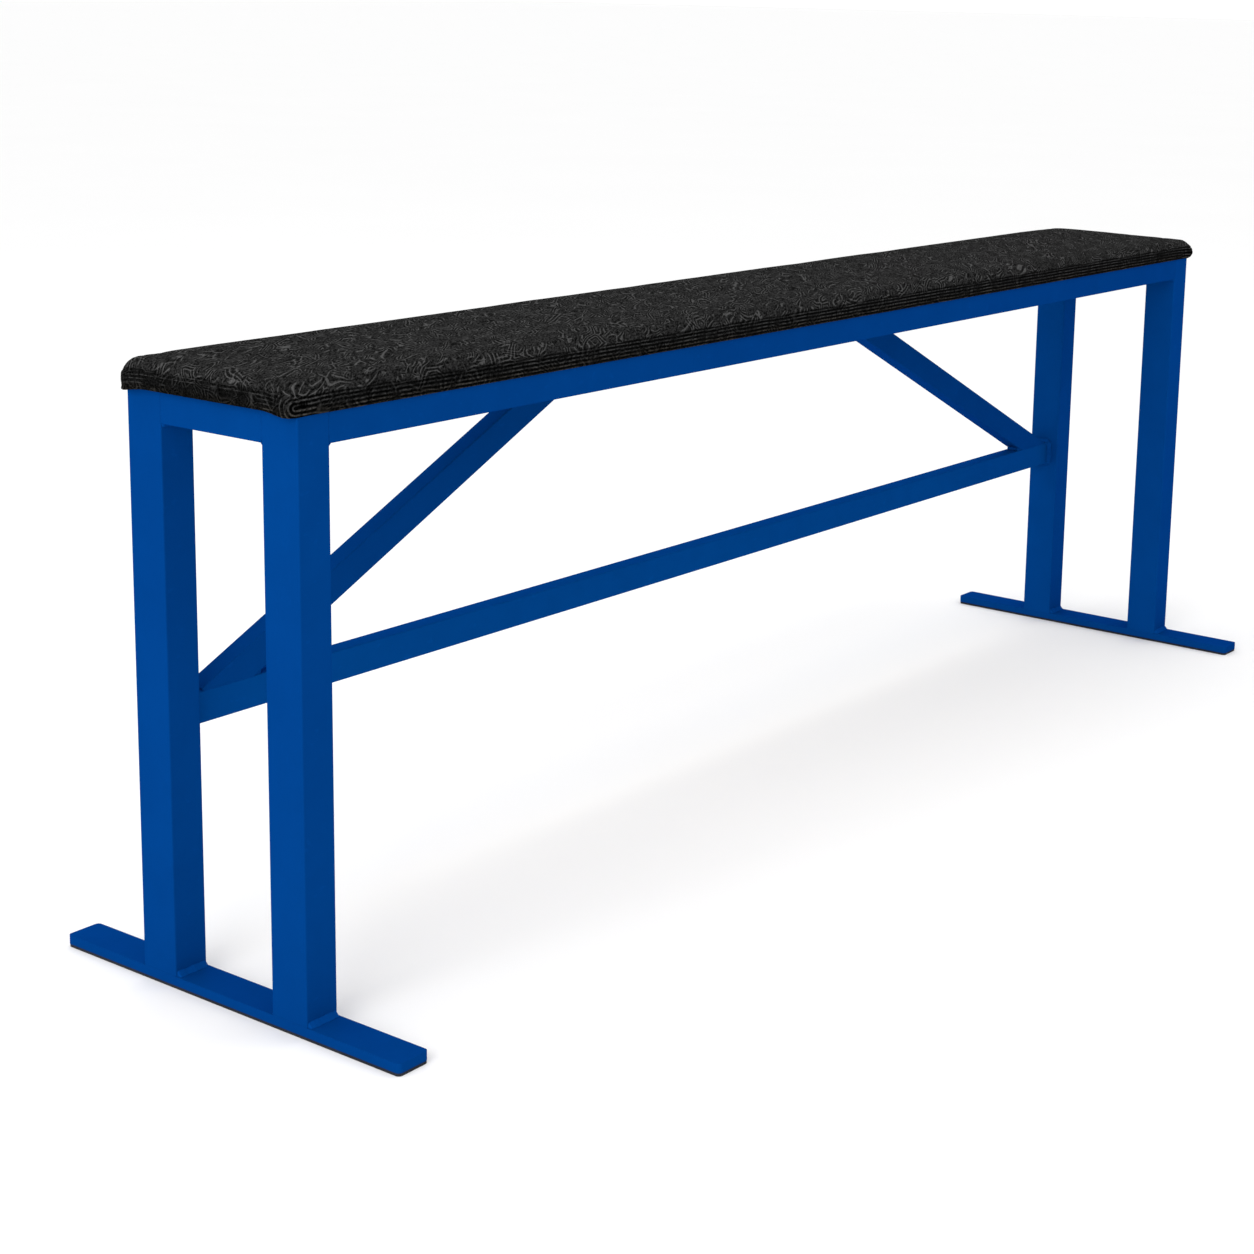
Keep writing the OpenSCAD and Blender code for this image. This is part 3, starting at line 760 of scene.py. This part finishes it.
V = np.array(verts)
# long, shallow unevenness of the foam under the cloth
top_w = np.clip((V[:, 2] - (Z_TOP - RE)) / RE, 0, 1)
for k in range(len(V)):
    if top_w[k] > 0:
        x, y = V[k, 0], V[k, 1]
        V[k, 2] += top_w[k] * (0.55 * n3(x, y, 1.0, 0.006) + 0.25 * n3(x, y, 2.0, 0.022))
        u = (x + A) / (2 * A)
        worn = sstep((x - (A - 170.0)) / 170.0)
        V[k, 2] += top_w[k] * (2.3 - 1.1 * u - worn * (1.2 + 2.4 * (0.5 - y / (2 * B))))

SHRINK, CAP = 2.0, 5.0


def simulate(V, faces):
    """Blows up a slightly smaller copy of the pad as cloth, pinned along its foot, and gives each point of V its share of the movement."""
    lo = V.copy()
    cx = np.clip(lo[:, 0], -(A - 40), A - 40)
    cy = np.clip(lo[:, 1], -(B - 40), B - 40)
    out = np.stack([lo[:, 0] - cx, lo[:, 1] - cy], 1)
    ol = np.linalg.norm(out, axis=1)
    k = ol > 1e-6
    lift = np.clip((lo[:, 2] - (ZT + 2)) / 12.0, 0, 1)
    lo[k, :2] -= out[k] / ol[k, None] * (SHRINK * lift[k] * np.clip(ol[k] / 40.0, 0, 1))[:, None]
    lo[:, 2] -= SHRINK * np.clip((lo[:, 2] - (ZT + 10)) / 20.0, 0, 1)
    src = make("pad_form", lo, faces, CARPET)
    mod = src.modifiers.new("remesh", "REMESH")
    mod.mode, mod.voxel_size = "VOXEL", 0.006
    dg = bpy.context.evaluated_depsgraph_get()
    me = bpy.data.meshes.new_from_object(src.evaluated_get(dg))
    bpy.data.objects.remove(src)
    cloth = bpy.data.objects.new("pad_cloth", me)
    scene.collection.objects.link(cloth)
    c0 = np.zeros(len(me.vertices) * 3)
    me.vertices.foreach_get("co", c0)
    c0 = c0.reshape(-1, 3)
    pin = cloth.vertex_groups.new(name="pin")
    wts = np.clip((ZT * MM + 0.009 - c0[:, 2]) / 0.006, 0, 1)
    for w_ in (1.0, 0.66, 0.33):
        idx = np.where((wts > w_ - 0.34) & (wts <= w_ + 0.001))[0].tolist() if w_ < 1.0 else np.where(wts > 0.66)[0].tolist()
        pin.add(idx, w_, "REPLACE")
    cl = cloth.modifiers.new("cloth", "CLOTH")
    st = cl.settings
    st.quality = 4
    st.mass = 0.003
    st.tension_stiffness = st.compression_stiffness = 150
    st.shear_stiffness = 75
    st.bending_stiffness = 1.2
    st.air_damping = 1.0
    st.use_pressure = True
    st.uniform_pressure_force = 80.0
    st.vertex_group_mass = "pin"
    st.effector_weights.gravity = 0.0
    cl.collision_settings.use_collision = False
    cl.point_cache.frame_start, cl.point_cache.frame_end = 1, 20
    for f in range(1, 21):
        scene.frame_set(f)
    dg = bpy.context.evaluated_depsgraph_get()
    done = cloth.evaluated_get(dg).to_mesh()
    c1 = np.zeros(len(done.vertices) * 3)
    done.vertices.foreach_get("co", c1)
    c1 = c1.reshape(-1, 3)
    move = (c1 - c0) / MM
    cloth.evaluated_get(dg).to_mesh_clear()
    bpy.data.objects.remove(cloth)
    scene.frame_set(1)
    size = np.linalg.norm(move, axis=1)
    print("cloth: points", len(c0), "move mean", float(size.mean()), "max", float(size.max()))
    tree = kdtree.KDTree(len(c0))
    for i, co in enumerate(c0):
        tree.insert(co, i)
    tree.balance()
    res = np.zeros_like(V)
    q = lo * MM
    for i in range(len(V)):
        tot, acc = 0.0, np.zeros(3)
        for co, idx, dist in tree.find_n(q[i], 6):
            wt = 1.0 / (dist * dist + 4e-6)
            acc += move[idx] * wt
            tot += wt
        res[i] = acc / tot
    return lo, res


LO, MOVE = simulate(V, faces)
give = LO - V + MOVE
flat = V[:, 2] > Z_TOP - 1.6
rim = flat & ((np.abs(V[:, 0]) > A - 40) | (np.abs(V[:, 1]) > B - 30))
flank = (~flat) & (V[:, 2] > ZT + 14) & (V[:, 2] < Z_TOP - 8)
way = np.stack([V[:, 0] - np.clip(V[:, 0], -(A - 16), A - 16), V[:, 1] - np.clip(V[:, 1], -(B - 16), B - 16)], 1)
way /= np.maximum(np.linalg.norm(way, axis=1), 1e-9)[:, None]
outward = give[:, 0] * way[:, 0] + give[:, 1] * way[:, 1]
print("cloth: crown", float(give[flat & ~rim, 2].mean()), "rim", float(give[rim, 2].mean()),
      "flank", float(outward[flank].mean()), float(outward[flank].std()))
# the slightly smaller form is set back to full size along the rim and flanks
give[:, 2] -= float(give[rim, 2].mean())
give[:, :2] -= way * float(outward[flank].mean())
size = np.linalg.norm(give, axis=1)
give *= (CAP * np.tanh(size / CAP) / np.maximum(size, 1e-9))[:, None]
soft = np.clip((V[:, 2] - (ZT + 4)) / 16.0, 0, 1)
V = V + give * soft[:, None]
print("pad after cloth", V.min(0), V.max(0))
# the cloth lies on the board, never inside it
for k in range(N * RINGS):
    if PART[k % RINGS] in "slr" and k % RINGS >= i_lip and V[k, 2] < float(BOARD_HI[2]) + 1.0:
        gap, out = off_board(V[k, 0], V[k, 1])
        if gap < 0.4 and V[k, 2] > float(BOARD_LO[2]) - 0.3:
            V[k, 0] += out[0] * (0.4 - gap)
            V[k, 1] += out[1] * (0.4 - gap)

pad = make("carpet_pad", V, faces, CARPET)
for name, vals in (("side", attr_side), ("rib", attr_rib), ("crease_shade", attr_painted_shade), ("warm", attr_warm)):
    at = pad.data.attributes.new(name, "FLOAT", "POINT")
    at.data.foreach_set("value", np.array(vals, np.float32))
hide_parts("carpet_cover", "foam_pad")
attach(pad, "root")

# ------------------------------------------------------------------ floor, light, camera
me = bpy.data.meshes.new("floor")
me.from_pydata([(-200, -200, -0.0002), (200, -200, -0.0002), (200, 200, -0.0002), (-200, 200, -0.0002)], [], [(0, 1, 2, 3)])
floor = bpy.data.objects.new("floor", me)
scene.collection.objects.link(floor)
f = Mat("pale_floor")
# the floor is darker near the bench and paler far off: painted shade round the bench, with a faint random mottle
away = f.nt.nodes.new("ShaderNodeVectorMath")
away.operation = "LENGTH"
f.put(away.inputs[0], f.coord)
floor_shade_and_mottle = f.ramp(away.outputs["Value"], 1.2, 7.0, 0.842, 0.90)
floor_shade_and_mottle = f.m("ADD", floor_shade_and_mottle, f.m("MULTIPLY", f.m("SUBTRACT", f.noise(0.8, 2.0), 0.5), 0.015))
grey = f.nt.nodes.new("ShaderNodeCombineColor")
for k in range(3):
    f.put(grey.inputs[k], floor_shade_and_mottle)
f.set(Base_Color=grey.outputs[0], Roughness=0.9, Specular_IOR_Level=0.05)
me.materials.append(f.mat)

world = bpy.data.worlds.new("studio")
scene.world = world
world.use_nodes = True
bg = world.node_tree.nodes["Background"]
bg.inputs[0].default_value = (1.0, 1.0, 1.0, 1)
bg.inputs[1].default_value = 1.09


def area(name, at, to, size, power):
    d = bpy.data.lights.new(name, "AREA")
    d.shape, d.size, d.size_y, d.energy = "RECTANGLE", size[0], size[1], power
    o = bpy.data.objects.new(name, d)
    scene.collection.objects.link(o)
    o.location = at
    o.rotation_euler = (Vector(to) - Vector(at)).to_track_quat("-Z", "Y").to_euler()
    return o


area("key_left", (-4.2, -0.9, 1.9), (-0.6, 0.0, 0.35), (2.6, 2.2), 75)
area("top_soft", (0.2, 0.3, 4.2), (0.0, 0.0, 0.0), (6.0, 4.0), 60)

cam = bpy.data.cameras.new("camera")
cam_o = bpy.data.objects.new("camera", cam)
scene.collection.objects.link(cam_o)
R = ((0.586929, -0.809334, 0.022181), (-0.144711, -0.131821, -0.980654), (0.796601, 0.572365, -0.194489))
FOCAL, CX, CY, SIZE = 2298.78, 748.34, 450.37, 1254.0
right_, down, fwd = (Vector(r) for r in R)
m = Matrix.Identity(4)
for k in range(3):
    m[k][0], m[k][1], m[k][2] = right_[k], -down[k], -fwd[k]
m[0][3], m[1][3], m[2][3] = -2.94078, -2.05779, 1.24116
cam_o.matrix_world = m
cam.sensor_width = 36.0
cam.lens = FOCAL * 36.0 / SIZE
cam.shift_x = (SIZE / 2 - CX) / SIZE
cam.shift_y = (CY - SIZE / 2) / SIZE
cam.clip_start, cam.clip_end = 0.05, 500.0
cam.dof.use_dof = False
scene.camera = cam_o
scene.view_settings.view_transform = "Standard"
scene.view_settings.look = "None"
